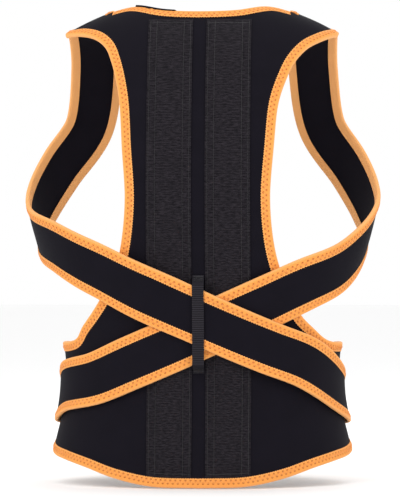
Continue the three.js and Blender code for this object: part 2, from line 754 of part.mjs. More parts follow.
// Patches of hook and loop that meet where the wings overlap, from a height over the wearer.
const patchLength = wingOverlap - 2 * (bindingWidth + 1);
const patchMiddle = (hemFront + beltTopFront) / 2;
for (const [name, low] of [
  ["loop_patch", clothHigh + tuck],
  ["hook_patch", edgeHeight + closureLift + clothLow - tuck - hookThickness],
]) {
  const patchPlace = (column, row, outside) => {
    const x = (0.5 - column / 4) * patchLength;
    const z = patchMiddle + (row / 4 - 0.5) * patchHeight;
    const sideways = bearingOf(Math.abs(x), z);
    return laid(atBearing(x > 0 ? 180 - sideways : sideways - 180, z), low + (outside ? hookThickness : 0));
  };
  add(name, slab(4, 4, patchPlace), hooks);
}

export default brace;
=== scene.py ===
import bmesh
import bpy
import math
import numpy as np
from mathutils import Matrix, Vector


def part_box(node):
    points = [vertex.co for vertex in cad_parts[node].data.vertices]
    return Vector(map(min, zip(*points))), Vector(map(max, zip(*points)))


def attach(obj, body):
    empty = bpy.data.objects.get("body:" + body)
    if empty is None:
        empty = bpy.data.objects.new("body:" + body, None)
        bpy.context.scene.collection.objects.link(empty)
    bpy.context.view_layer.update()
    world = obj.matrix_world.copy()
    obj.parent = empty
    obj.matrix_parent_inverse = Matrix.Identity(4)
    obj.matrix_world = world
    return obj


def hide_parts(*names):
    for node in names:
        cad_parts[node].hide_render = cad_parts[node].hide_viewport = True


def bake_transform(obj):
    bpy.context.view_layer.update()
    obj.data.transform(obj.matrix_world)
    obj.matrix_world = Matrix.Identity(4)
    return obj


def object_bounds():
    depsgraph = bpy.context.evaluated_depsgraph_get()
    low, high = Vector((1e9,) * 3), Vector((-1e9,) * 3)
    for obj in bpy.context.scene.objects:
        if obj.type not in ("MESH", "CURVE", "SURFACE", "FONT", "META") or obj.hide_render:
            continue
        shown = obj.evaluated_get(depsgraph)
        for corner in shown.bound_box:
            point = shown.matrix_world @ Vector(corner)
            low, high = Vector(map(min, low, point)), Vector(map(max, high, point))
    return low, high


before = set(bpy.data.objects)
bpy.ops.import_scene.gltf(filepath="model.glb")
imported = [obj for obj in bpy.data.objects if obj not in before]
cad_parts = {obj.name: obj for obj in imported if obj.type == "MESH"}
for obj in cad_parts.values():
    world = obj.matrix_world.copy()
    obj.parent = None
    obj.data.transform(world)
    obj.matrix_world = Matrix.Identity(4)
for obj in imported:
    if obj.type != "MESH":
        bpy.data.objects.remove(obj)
cad_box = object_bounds()
METRE = 1000.0


# ---- Camera ----
# The brace is seen squarely from behind, a couple of degrees round to its right, from a few metres.
CAMERA_DISTANCE = 3.6
CAMERA_YAW = math.radians(2.3)
VIEW_HEIGHT = 0.5271  # how tall the view is, at the back of the brace
VIEW_CENTRE = Vector((0.0, -0.07, 0.1352))

camera_data = bpy.data.cameras.new("camera")
camera_data.sensor_width = 36.0
camera_data.lens = camera_data.sensor_width * CAMERA_DISTANCE / VIEW_HEIGHT
camera = bpy.data.objects.new("camera", camera_data)
bpy.context.scene.collection.objects.link(camera)
bpy.context.scene.camera = camera
backwards = Vector((math.sin(CAMERA_YAW), -math.cos(CAMERA_YAW), 0.0))
camera.location = VIEW_CENTRE + backwards * CAMERA_DISTANCE
camera.rotation_euler = (-backwards).to_track_quat("-Z", "Y").to_euler()


# ---- Back panel ----
# One piece of neoprene foam with black jersey on both faces: the vest's back, from the neck and shoulder
# seams to the hem, and the belt's back as far as each side. Its edges are bound, its shoulders are seamed.
NEOPRENE = 2.6
TAPE = 0.6
TUCK = 0.6  # between the cloth and the tape folded over its edge
INSET = TAPE + TUCK
CLOTH_HIGH = INSET + NEOPRENE  # the cloth's outer face, over the trunk

# The wearer's trunk: heights, and there how much wider and deeper it is than the waist, and its middle.
# Its section is an ellipse flattened at front and back, and above the spring height the two close to a ridge
# over the shoulders, which falls away to each side.
WAIST_HALF_WIDTH, WAIST_HALF_DEPTH, FLATNESS = 143.0, 101.0, 2.3
SPRING_HEIGHT, RIDGE_HEIGHT, RIDGE_FALL = 200.0, 405.0, 0.002
STATION_Z = np.array([-140.0, -80.0, -15.0, 45.0, 110.0, 190.0, 300.0, 410.0])
WIDER = np.array([23.0, 13.0, 0.0, 3.0, 21.0, 42.0, 58.0, 62.0])
DEEPER = np.array([17.0, 11.0, 1.0, 0.0, 8.0, 19.0, 14.0, 10.0])
MIDDLE = np.array([-2.0, -1.0, 1.0, 0.0, -3.0, -4.0, -6.0, -8.0])


def smooth(x, low, high):
    t = np.clip((x - low) / (high - low), 0.0, 1.0)
    return t * t * (3 - 2 * t)


def lerp(a, b, t):
    return a + (b - a) * t


def measure(values, z):
    """A measure of the trunk at heights z, as a smooth curve through the stations."""
    last = len(STATION_Z) - 1
    low = np.clip(np.searchsorted(STATION_Z, z, side="right") - 1, 0, last - 1)
    before, after = np.maximum(np.arange(last + 1) - 1, 0), np.minimum(np.arange(last + 1) + 1, last)
    slopes = (values[after] - values[before]) / (STATION_Z[after] - STATION_Z[before])
    span = STATION_Z[low + 1] - STATION_Z[low]
    t = np.clip((z - STATION_Z[low]) / span, 0.0, 1.0)
    return (
        values[low] * (2 * t**3 - 3 * t**2 + 1)
        + values[low + 1] * (3 * t**2 - 2 * t**3)
        + slopes[low] * span * (t**3 - 2 * t**2 + t)
        + slopes[low + 1] * span * (t**3 - t**2)
    )


def half_width(z):
    return WAIST_HALF_WIDTH + measure(WIDER, z)


def half_depth(z):
    return WAIST_HALF_DEPTH + measure(DEEPER, z)


def middle(z):
    return measure(MIDDLE, z)


def ridge(x):
    return RIDGE_HEIGHT - RIDGE_FALL * x * x


def trunk_depth(p):
    """Below zero inside the trunk, zero on its skin."""
    x, y, z = p[..., 0], p[..., 1], p[..., 2]
    closing = np.maximum(0.0, (z - SPRING_HEIGHT) / (ridge(x) - SPRING_HEIGHT))
    across = np.abs(x / half_width(z)) ** FLATNESS
    return ((y - middle(z)) / half_depth(z)) ** 2 - (1 - across) * (1 - closing * closing)


def gradient(p):
    step = 0.01
    sides = []
    for axis in range(3):
        shift = np.zeros(3)
        shift[axis] = step
        sides.append((trunk_depth(p + shift) - trunk_depth(p - shift)) / (2 * step))
    return np.stack(sides, -1)


def unit(v):
    return v / np.linalg.norm(v, axis=-1, keepdims=True)


def laid(rough, height=0.0):
    """The points of the skin nearest to rough ones, raised by a height."""
    p = np.array(rough, float)
    for _ in range(7):
        g = gradient(p)
        p = p - g * (trunk_depth(p) / np.sum(g * g, -1))[..., None]
    return p + unit(gradient(p)) * np.asarray(height)[..., None]


def at_bearing(bearing, z):
    """The skin at a bearing round the trunk: 0 is the spine, 90 the right side and 180 the front."""
    bearing, z = np.broadcast_arrays(np.asarray(bearing, float), np.asarray(z, float))
    sine, cosine = np.sin(np.radians(bearing)), np.cos(np.radians(bearing))
    x = half_width(z) * np.sign(sine) * np.abs(sine) ** (2 / FLATNESS)
    return np.stack([x, middle(z) - half_depth(z) * cosine, z], -1)


def bearing_of(x, z):
    return np.degrees(np.arcsin(np.minimum(1.0, np.abs(x) / half_width(z)) ** (FLATNESS / 2)))


def on_back(x, z):
    x, z = np.broadcast_arrays(np.asarray(x, float), np.asarray(z, float))
    closing = np.maximum(0.0, (z - SPRING_HEIGHT) / (ridge(x) - SPRING_HEIGHT))
    across = np.abs(x / half_width(z)) ** FLATNESS
    reach = np.sqrt(np.maximum(0.0, (1 - across) * (1 - closing * closing)))
    return np.stack([x, middle(z) - half_depth(z) * reach, z], -1)


def on_shoulder(x, arch):
    """The skin of a shoulder: arch 0 is the back at the spring height, 90 the ridge and 180 the front."""
    z = SPRING_HEIGHT + (ridge(x) - SPRING_HEIGHT) * math.sin(math.radians(arch))
    across = abs(x / half_width(z)) ** FLATNESS
    y = middle(z) - half_depth(z) * math.cos(math.radians(arch)) * math.sqrt(1 - across)
    return np.array([x, y, z])


class Line:
    """A smooth curve through points of the skin, read by the distance along it."""

    def __init__(self, points, per_span=40):
        points = np.array(points, float)
        ends = np.vstack([2 * points[0] - points[1], points, 2 * points[-1] - points[-2]])
        dense = []
        for k in range(1, len(ends) - 2):
            p0, p1, p2, p3 = ends[k - 1 : k + 3]
            gaps = [np.linalg.norm(b - a) for a, b in ((p0, p1), (p1, p2), (p2, p3))]
            d0, d1, d2 = (max(math.sqrt(gap), 1e-4) for gap in gaps)
            m1 = ((p1 - p0) / d0 - (p2 - p0) / (d0 + d1) + (p2 - p1) / d1) * d1
            m2 = ((p2 - p1) / d1 - (p3 - p1) / (d1 + d2) + (p3 - p2) / d2) * d1
            t = np.linspace(0, 1, per_span, endpoint=False)[:, None]
            dense.append(
                p1 * (2 * t**3 - 3 * t**2 + 1) + m1 * (t**3 - 2 * t**2 + t)
                + p2 * (3 * t**2 - 2 * t**3) + m2 * (t**3 - t**2)
            )
        self.points = np.vstack(dense + [points[-1:]])
        self.per_span = per_span
        steps = np.linalg.norm(np.diff(self.points, axis=0), axis=1)
        self.lengths = np.concatenate([[0.0], np.cumsum(steps)])
        self.length = self.lengths[-1]

    def at(self, distance):
        return np.stack([np.interp(distance, self.lengths, self.points[:, k]) for k in range(3)], -1)

    def frames(self, distance):
        """Skin points on the line, the way along it and the way to its right as seen from outside."""
        distance = np.asarray(distance, float)
        place = laid(self.at(distance))
        reach = 1.5
        ahead, behind = np.minimum(distance + reach, self.length), np.maximum(distance - reach, 0.0)
        along = unit(self.at(ahead) - self.at(behind))
        right = unit(np.cross(along, gradient(place)))
        return place, along, right

    def distance_of(self, point_number):
        return self.lengths[point_number * self.per_span]


STRAP_WIDTH, STRAP_SLOPE = 57.5, math.radians(25.4)
CROSSING_X, CROSSING_Z, RIGHT_STRAP_RISE = 21.0, 58.5, 2.5
SEAM_MIDDLE, SEAM_ARCH = 118.0, 80.0  # the shoulder seam: from the spine, and how far over the shoulder
HALF_STRAP = STRAP_WIDTH / 2
# A strap's route after its shoulder seam: (from the middle, arch) over the shoulder, (bearing, height) under
# the arm, distances across the back, and (bearing, height) round the other hip to its end.
OVER_SHOULDER = [(117, 105), (117, 130)]
UNDER_ARM = [(142, 272), (127, 224), (110, 187), (90, 160)]
ACROSS_BACK = [-150, -110, -70, -25, 25, 70, 105]
ROUND_HIP = [(72, -9), (90, -20), (110, -25), (130, -26.5), (148, -27)]


def strap_line(start):
    """The middle of the strap that starts on one shoulder (-1 the left, 1 the right), as far as its end."""
    height = CROSSING_Z + (RIGHT_STRAP_RISE if start > 0 else 0.0)

    def across_back(across):
        return on_back(-start * across, height - math.tan(STRAP_SLOPE) * (across + start * CROSSING_X))

    return Line([
        on_shoulder(start * SEAM_MIDDLE, SEAM_ARCH),
        *[on_shoulder(start * x, arch) for x, arch in OVER_SHOULDER],
        *[at_bearing(start * bearing, z) for bearing, z in UNDER_ARM],
        *[across_back(across) for across in ACROSS_BACK],
        *[at_bearing(-start * bearing, z) for bearing, z in ROUND_HIP],
    ])


straps = {-1: strap_line(-1), 1: strap_line(1)}


def on_seam(side, distance):
    """The shoulder seam at distances outwards from its middle."""
    place, _, right = straps[side].frames(np.zeros(np.shape(distance)))
    return laid(place + right * side * np.asarray(distance, float)[..., None])


HEM_BACK, HEM_FRONT, HEM_SWEEP, BELT_TOP, BELT_TOP_FRONT = -111.0, -62.0, 17.0, 39.0, 28.0
SWEEP_BEARINGS = 8, 58  # the hem sweeps up fastest between these
CORNER_REACH = WAIST_HALF_WIDTH - 12
# An armhole's edge, as (from the middle, share of the height from the belt's top to the ridge), and the
# neck's, as (from the middle, depth below the ridge's height).
ARMHOLE = {
    -1: [(122, 0.046), (111, 0.09), (101, 0.134), (88, 0.198), (80, 0.281), (75.5, 0.413), (79, 0.563),
         (82, 0.68), (86.5, 0.749), (91.5, 0.798), (98, 0.839), (109, 0.866), (126, 0.88)],
    1: [(118, 0.041), (104, 0.085), (87, 0.189), (78, 0.281), (74, 0.413), (78, 0.563), (82.5, 0.68),
        (90.5, 0.749), (99, 0.798), (112, 0.839), (127, 0.863)],
}
NECK_EDGE = [(0, 20), (38, 18.5), (73, 14.5)]
WING_OVERLAP, WING_CORNER, CLOSURE_LIFT = 70.0, 18.0, 3.0
WING_END = 180 + float(bearing_of(WING_OVERLAP / 2, 0.0))
PER_DEGREE = WING_OVERLAP / 2 / (WING_END - 180)
SPLIT = 74.0  # bearing at which the back's pieces end and the wings' begin
CORNER_RUN = 36.0  # from the hinge, along the edge, to where the belt's top turns up into the armhole


def hem(bearing):
    climb = lerp(HEM_BACK, HEM_FRONT - HEM_SWEEP, (1 - np.cos(np.radians(bearing))) / 2)
    return climb + HEM_SWEEP * smooth(np.abs(bearing), *SWEEP_BEARINGS)


def wing_top(bearing):
    return lerp(BELT_TOP, BELT_TOP_FRONT, smooth(np.abs(bearing), 90, 180))


def corner_loss(distance, radius):
    """How far a round corner takes the wing's edge in, at a distance from the wing's end."""
    short = np.maximum(0.0, radius - np.maximum(0.0, distance))
    return radius - np.sqrt(radius**2 - short**2)


def wing_edge(side, bearing, up, margin=0.0):
    end = WING_END - margin / PER_DEGREE
    at = np.minimum(bearing, end)
    loss = margin + corner_loss((end - at) * PER_DEGREE, WING_CORNER - margin)
    return at_bearing(side * at, lerp(hem(at) + loss, wing_top(at) - loss, up))


def edge_line(side):
    """All of one side's bound edge: hem, wing's end, belt's top, armhole and so to the shoulder seam."""
    bearings = [*np.arange(0, 90, 15.0), *np.linspace(90, WING_END - (WING_CORNER + 2) / PER_DEGREE, 13)]
    turn = [WING_END - k * WING_CORNER / PER_DEGREE for k in (0.75, 0.5, 0.28, 0.12, 0.03, 0.0)]
    lower = [at_bearing(side * b, hem(b)) for b in bearings[:6]]
    lower += [wing_edge(side, b, 0.0) for b in [*bearings[6:], *turn]]
    upper = [wing_edge(side, b, 1.0) for b in [*turn[::-1], *bearings[:5:-1]]]
    points = [*lower, wing_edge(side, WING_END, 0.5), *upper]
    hinge_number = len(points) - 1
    points += [on_back(side * (CORNER_REACH + out), BELT_TOP + up) for out, up in ((5, 1), (-3, 5))]
    points += [on_back(side * x, lerp(BELT_TOP, RIDGE_HEIGHT, share)) for x, share in ARMHOLE[side]]
    points.append(on_seam(side, HALF_STRAP))
    line = Line(points)
    line.hinge = line.distance_of(hinge_number)
    line.corner = line.hinge + CORNER_RUN
    bearing = bearing_of(line.points[:, 0], line.points[:, 2])
    before = line.lengths < line.length * 0.2
    line.hem_split = line.lengths[before][np.argmin(np.abs(bearing[before] - SPLIT))]
    after = (line.lengths >= line.hinge) & (line.lengths <= line.corner)
    line.top_split = line.lengths[after][np.argmin(np.abs(bearing[after] - SPLIT))]
    return line


edges = {-1: edge_line(-1), 1: edge_line(1)}
neck = Line([
    on_seam(-1, -HALF_STRAP),
    *[on_back(-x, RIDGE_HEIGHT - down) for x, down in NECK_EDGE[:0:-1]],
    *[on_back(x, RIDGE_HEIGHT - down) for x, down in NECK_EDGE],
    on_seam(1, -HALF_STRAP),
])


def inward_of(line, side_or_neck, distance):
    """Points of a bound edge and the way in to the cloth from each."""
    place, _, right = line.frames(distance)
    return place, right * (-side_or_neck if side_or_neck else 1.0)


def inset_point(line, side_or_neck, distance, margin=INSET):
    place, inward = inward_of(line, side_or_neck, distance)
    return place + inward * margin


def girth(bearing):
    """How far round the waist a bearing is from the spine, for laying out the weave."""
    steps = np.linspace(-200.0, 200.0, 801)
    walk = np.linalg.norm(np.diff(at_bearing(steps, np.zeros(801)), axis=0), axis=1)
    walked = np.concatenate([[0.0], np.cumsum(walk)])
    return np.interp(bearing, steps, walked) - np.interp(0.0, steps, walked)


def cloth_uv(spots):
    """Round the back and up, in metres, for points of the back panel and what is sewn flat on it."""
    bearing = np.sign(spots[..., 0]) * bearing_of(spots[..., 0], spots[..., 2])
    return np.stack([girth(bearing), spots[..., 2]], -1) / METRE


def apply_modifiers(piece):
    evaluated = piece.evaluated_get(bpy.context.evaluated_depsgraph_get())
    finished = bpy.data.meshes.new_from_object(evaluated)
    piece.modifiers.clear()
    piece.data = finished


def piece_from(name, spots, uvs, finish, thickness=0.0, ring=False, sharp=50.0):
    """A piece on a grid of points (rows, columns, 3); its last row shows which way is out."""
    run, rise = spots[-1, 1:] - spots[-1, :-1], spots[-1, 1:] - spots[-2, 1:]
    if not ring and np.sum(np.cross(run, rise) * gradient(spots[-1, 1:])) < 0:
        spots, uvs = spots[:, ::-1], uvs[:, ::-1]
    rows, columns = spots.shape[:2]
    shape = bmesh.new()
    bmesh.ops.create_grid(shape, x_segments=columns - 1, y_segments=rows - 1, size=1.0)
    mesh = bpy.data.meshes.new(name)
    shape.to_mesh(mesh)
    mesh.vertices.foreach_set("co", (spots / METRE).astype(np.float32).ravel())
    corners = np.empty(len(mesh.loops), np.int32)
    mesh.loops.foreach_get("vertex_index", corners)
    layer = mesh.uv_layers.new(name="UVMap")
    layer.data.foreach_set("uv", uvs.reshape(-1, 2)[corners].astype(np.float32).ravel())
    if ring:
        shape.clear()
        shape.from_mesh(mesh)
        bmesh.ops.remove_doubles(shape, verts=shape.verts, dist=1e-6)
        bmesh.ops.holes_fill(shape, edges=[e for e in shape.edges if e.is_boundary], sides=32)
        bmesh.ops.recalc_face_normals(shape, faces=shape.faces)
        shape.to_mesh(mesh)
    shape.free()
    mesh.polygons.foreach_set("use_smooth", np.ones(len(mesh.polygons), bool))
    piece = bpy.data.objects.new(name, mesh)
    bpy.context.scene.collection.objects.link(piece)
    mesh.materials.append(finish)
    if thickness:
        solid = piece.modifiers.new("thickness", "SOLIDIFY")
        solid.thickness, solid.offset, solid.use_even_offset = thickness / METRE, -1.0, True
        solid.thickness_clamp = 1.0
        apply_modifiers(piece)
    piece.data.set_sharp_from_angle(angle=math.radians(sharp))
    return piece


class Value:
    """The output of a finish's node; plain arithmetic on it adds the nodes that work it out."""

    def __init__(self, finish, socket):
        self.finish, self.socket = finish, socket

    def math(self, operation, *others):
        inputs = {f"s{k}": value for k, value in enumerate([self, *others])}
        return self.finish.node("ShaderNodeMath", {"operation": operation}, **inputs)

    def __add__(self, other):
        return self.math("ADD", other)

    def __sub__(self, other):
        return self.math("SUBTRACT", other)

    def __mul__(self, other):
        return self.math("MULTIPLY", other)

    def __rsub__(self, other):
        return self * -1.0 + other

    __radd__, __rmul__ = __add__, __mul__

    def between(self, low, high):
        """0 at low, 1 at high, and a smooth step between."""
        smoothly = {"interpolation_type": "SMOOTHSTEP"}
        return self.finish.node("ShaderNodeMapRange", smoothly, s0=self, s1=low, s2=high, s3=0.0, s4=1.0)

    def wave(self, pitch, phase=0.0):
        """A wave from 0 to 1 with this pitch."""
        return (self * (2 * math.pi / pitch) + phase).math("COSINE") * 0.5 + 0.5


class Finish:
    """A material on one Principled shader, with the two directions of the cloth as values in metres."""

    def __init__(self, name, roughness=0.8, sheen=0.0, sheen_roughness=0.5, metallic=0.0, specular=0.5):
        self.material = bpy.data.materials.new(name)
        self.material.use_nodes = True
        self.tree = self.material.node_tree
        self.shader = self.tree.nodes["Principled BSDF"]
        self.shader.inputs["Roughness"].default_value = roughness
        self.shader.inputs["Metallic"].default_value = metallic
        self.shader.inputs["Specular IOR Level"].default_value = specular
        self.shader.inputs["Sheen Weight"].default_value = sheen
        self.shader.inputs["Sheen Roughness"].default_value = sheen_roughness
        self.where = self.node("ShaderNodeTexCoord", output="UV")
        self.u = self.node("ShaderNodeSeparateXYZ", s0=self.where)
        self.v = self.node("ShaderNodeSeparateXYZ", output=1, s0=self.where)

    def node(self, kind, settings=None, output=0, **sockets):
        """A node of a type, its settings first, then its sockets by name, _ for a space, or as s0, s1."""
        made = self.tree.nodes.new(kind)
        for key, setting in (settings or {}).items():
            setattr(made, key, setting)
        for key, value in sockets.items():
            socket = made.inputs[int(key[1:]) if key[1:].isdigit() else key.replace("_", " ")]
            if isinstance(value, Value):
                self.tree.links.new(value.socket, socket)
            else:
                socket.default_value = value
        return Value(self, made.outputs[output])

    def noise(self, scale, detail=3.0, roughness=0.6, stretch=(1.0, 1.0)):
        where = self.node("ShaderNodeMapping", Vector=self.where, Scale=(*stretch, 1.0))
        return self.node("ShaderNodeTexNoise", Vector=where, Scale=scale, Detail=detail, Roughness=roughness)

    def colour(self, low, high, share):
        """A colour between two, each a tuple or an earlier colour."""
        low, high = (tone if isinstance(tone, Value) else (*tone, 1.0) for tone in (low, high))
        return self.node("ShaderNodeMix", {"data_type": "RGBA"}, 2, s0=share, s6=low, s7=high)

    def wear(self, base, roughness, bump, strength=0.5, height=0.001):
        """Lay a colour, a roughness and a relief on the shader; gives the material."""
        raised = self.node("ShaderNodeBump", Strength=strength, Distance=height, Height=bump)
        for value, name in ((base, "Base Color"), (roughness, "Roughness"), (raised, "Normal")):
            self.tree.links.new(value.socket, self.shader.inputs[name])
        return self.material


def jersey_finish():
    """Black jersey laminated on foam: fine knit columns, a soft bloom, and paler rubbed patches."""
    jersey = Finish("black_jersey", roughness=0.78, sheen=0.02, sheen_roughness=0.4, specular=0.05)
    knit = jersey.u.wave(0.00085) * jersey.v.wave(0.0011)
    mottle = jersey.noise(34.0, 4.0)
    grain = jersey.noise(2600.0, 2.0)
    dark = jersey.colour((0.0038, 0.0032, 0.0058), (0.0080, 0.0068, 0.0112), mottle)
    base = jersey.colour(dark, (0.020, 0.018, 0.025), knit * grain * 0.55)
    rough = mottle * 0.16 + 0.68
    return jersey.wear(base, rough, knit * 0.5 + grain * 0.5 + mottle * 0.35, 0.45, 0.00035)


jersey = jersey_finish()


def back_panel():
    belt_columns, side_columns, vest_rows, belt_rows = 97, 13, 120, 56
    corner = {side: inset_point(edges[side], side, np.array([edges[side].corner]))[0] for side in (-1, 1)}
    turn = {side: float(bearing_of(corner[side][0], corner[side][2])) for side in (-1, 1)}
    inner = np.linspace(-1, 1, belt_columns)
    bearing = np.where(inner < 0, inner * turn[-1], inner * turn[1])
    top_z = lerp(corner[-1][2], corner[1][2], (inner + 1) / 2)

    columns, tops = [], []
    for side in (-1, 1):
        line = edges[side]
        spots = inset_point(line, side, np.linspace(line.top_split - 6, line.corner, 60))
        outer = np.linspace(SPLIT, turn[side], side_columns)[:-1]
        top = np.interp(outer, bearing_of(spots[::-1, 0], spots[::-1, 2]), spots[::-1, 2])
        columns.append(side * outer[::-side])
        tops.append(top[::-side])
    belt_bearing = np.concatenate([columns[0], bearing, columns[1]])
    belt_top = np.concatenate([tops[0], top_z, tops[1]])
    up = np.linspace(0, 1, belt_rows)[:, None]
    heights = lerp((hem(belt_bearing) + INSET)[None], belt_top[None], up)
    belt = at_bearing(np.broadcast_to(belt_bearing, heights.shape), heights)

    s, v = (inner + 1) / 2, np.linspace(0, 1, vest_rows)
    sides = {}
    for side in (-1, 1):
        line = edges[side]
        along = lerp(line.corner, line.length, v)
        edge = inset_point(line, side, along)
        edge[-1] = on_seam(side, HALF_STRAP - INSET)
        sides[side] = edge[:, [0, 2]]
    neck_reach, neck_share = np.array([INSET, neck.length - INSET]), 0.62
    top = np.empty((belt_columns, 2))
    for k, share in enumerate(inner):
        if abs(share) <= neck_share:
            at = lerp(*neck_reach, (share / neck_share + 1) / 2)
            top[k] = inset_point(neck, 0, np.array([at]))[0, [0, 2]]
        else:
            side = 1 if share > 0 else -1
            off = lerp(-HALF_STRAP + INSET, HALF_STRAP - INSET, (abs(share) - neck_share) / (1 - neck_share))
            top[k] = on_seam(side, np.array([off]))[0, [0, 2]]
    bottom = at_bearing(bearing, top_z)[:, [0, 2]]
    left, right = sides[-1], sides[1]
    left[0], right[0], left[-1], right[-1] = bottom[0], bottom[-1], top[0], top[-1]
    S, V = s[None, :, None], v[:, None, None]
    corners = (1 - S) * ((1 - V) * bottom[0] + V * top[0]) + S * ((1 - V) * bottom[-1] + V * top[-1])
    flat = (1 - V) * bottom[None] + V * top[None] + (1 - S) * left[:, None] + S * right[:, None] - corners
    vest = on_back(flat[..., 0], flat[..., 1])

    panel = []
    for name, rough in (("belt", belt), ("vest", vest)):
        spots = laid(rough, np.full(rough.shape[:2], CLOTH_HIGH) + panel_swell(rough))
        panel.append(piece_from(f"back_{name}", spots, cloth_uv(rough), jersey))
    shape = bmesh.new()
    for piece in panel:
        shape.from_mesh(piece.data)
        bpy.data.objects.remove(piece)
    bmesh.ops.remove_doubles(shape, verts=shape.verts, dist=2e-5)
    mesh = bpy.data.meshes.new("back_panel_cloth")
    shape.to_mesh(mesh)
    shape.free()
    mesh.materials.append(jersey)
    piece = bpy.data.objects.new("back_panel_cloth", mesh)
    bpy.context.scene.collection.objects.link(piece)
    solid = piece.modifiers.new("thickness", "SOLIDIFY")
    solid.thickness, solid.offset = NEOPRENE / METRE, -1.0
    apply_modifiers(piece)
    piece.data.set_sharp_from_angle(angle=math.radians(50))
    return piece


def panel_swell(rough):
    """How far the foam rises and falls where nothing holds it down."""
    x, z = rough[..., 0], rough[..., 2]
    slow = np.sin(x / 31 + 1.3 * np.sin(z / 47)) * np.sin(z / 39 + 0.8)
    fast = np.sin(x / 13 + z / 29 + 2.0 * np.sin(z / 71)) * np.sin(z / 17 + x / 41)
    free = smooth(z, BELT_TOP + 30, BELT_TOP + 80) * (1 - smooth(z, 300, 360))
    return 0.35 * slow + 0.16 * fast * free


panel_piece = back_panel()
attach(panel_piece, "back")
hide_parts("back_panel")


# ---- Edge binding ----
# Every cut edge of the foam is covered by an orange knitted tape, folded over it and fixed with a zigzag
# stitch. The stitch pulls the tape's free edge into small scallops and dimples it at each needle hole.
ZIGZAG = 5.2
TAPE_STEP = ZIGZAG / 6
SCALLOP = 0.5
DIMPLE = 0.4
ROW_NEAR, ROW_FAR = 4.3, 7.7  # the two rows of needle holes, from the fold
NEAR_UP, FAR_UP = 4.86, 4.62  # the tape's outer face there, over the trunk
THREAD = 0.24
TAPE_SECTION = np.array([
    (9.5, 0.0), (6.0, 0.0), (2.3, 0.05), (0.75, 0.5), (0.12, 1.5), (0.0, 2.6), (0.2, 3.7), (0.85, 4.55),
    (2.3, 4.98), (ROW_NEAR, NEAR_UP), (6.0, 4.9), (ROW_FAR, FAR_UP), (8.8, 4.68), (10.0, 4.44),
])
OUTER_FROM = 5  # the section's point at the fold's crown


def tape_finish():
    """Orange knitted tape: fine cross ribs, a painted highlight over its fold and along its free edge, and
    needle holes darkened with painted shade.
    """
    tape = Finish("orange_tape", roughness=0.62, sheen=0.02, sheen_roughness=0.4, specular=0.2)
    along, inwards = tape.u * METRE, tape.v * METRE
    ribs = tape.u.wave(0.00087)
    fuzz = tape.noise(1900.0, 2.0)
    patch = tape.noise(26.0, 3.0)
    rich = tape.colour((0.85, 0.315, 0.062), (0.92, 0.385, 0.086), patch)
    # Painted highlight: the tape's fold and its free edge are mixed towards a pale peach, as where light
    # catches them.
    pale = inwards.between(8.6, 9.9) * 0.5 + (1.0 - inwards.between(-0.5, 2.6))
    base = tape.colour(rich, (0.95, 0.52, 0.22), pale * 0.6)
    base = tape.colour(base, (0.66, 0.185, 0.025), ribs * fuzz * 0.35)
    near = along.wave(ZIGZAG) * (1.0 - (inwards - ROW_NEAR).math("ABSOLUTE").between(0.5, 1.5))
    far = along.wave(ZIGZAG, math.pi) * (1.0 - (inwards - ROW_FAR).math("ABSOLUTE").between(0.5, 1.5))
    holes = (near + far).between(0.5, 0.92)
    # Painted shade: the tape is darkened at the needle-hole dimples, on top of the dimples' own relief.
    base = tape.colour(base, (0.42, 0.095, 0.015), holes * 0.85)
    return tape.wear(base, fuzz * 0.2 + 0.52, ribs * 0.6 + fuzz * 0.5 - holes * 1.5, 0.5, 0.0003)


def thread_finish():
    thread = Finish("orange_thread", roughness=0.5, sheen=0.2, specular=0.45)
    twist = (thread.u + thread.v * 0.35).wave(0.0006)
    base = thread.colour((0.80, 0.29, 0.055), (0.92, 0.44, 0.13), twist)
    return thread.wear(base, twist * 0.2 + 0.42, twist, 0.6, 0.0001)


orange_tape, orange_thread = tape_finish(), thread_finish()


def distances(start, end, step):
    return np.linspace(start, end, max(2, round(abs(end - start) / step) + 1))


def thread_along(name, path, radius, finish):
    """A thin round thread along points just over the cloth."""
    along = unit(np.gradient(path, axis=0))
    up = unit(gradient(path))
    sideways = unit(np.cross(along, up))
    turn = np.linspace(0, 2 * np.pi, 6)[:, None, None]
    ring = path[None] + radius * (np.cos(turn) * sideways[None] + np.sin(turn) * up[None])
    walked = np.concatenate([[0.0], np.cumsum(np.linalg.norm(np.diff(path, axis=0), axis=1))])
    uvs = np.stack(np.broadcast_arrays(walked[None], turn[..., 0] * radius), -1) / METRE
    return piece_from(name, ring, uvs, finish, ring=True)


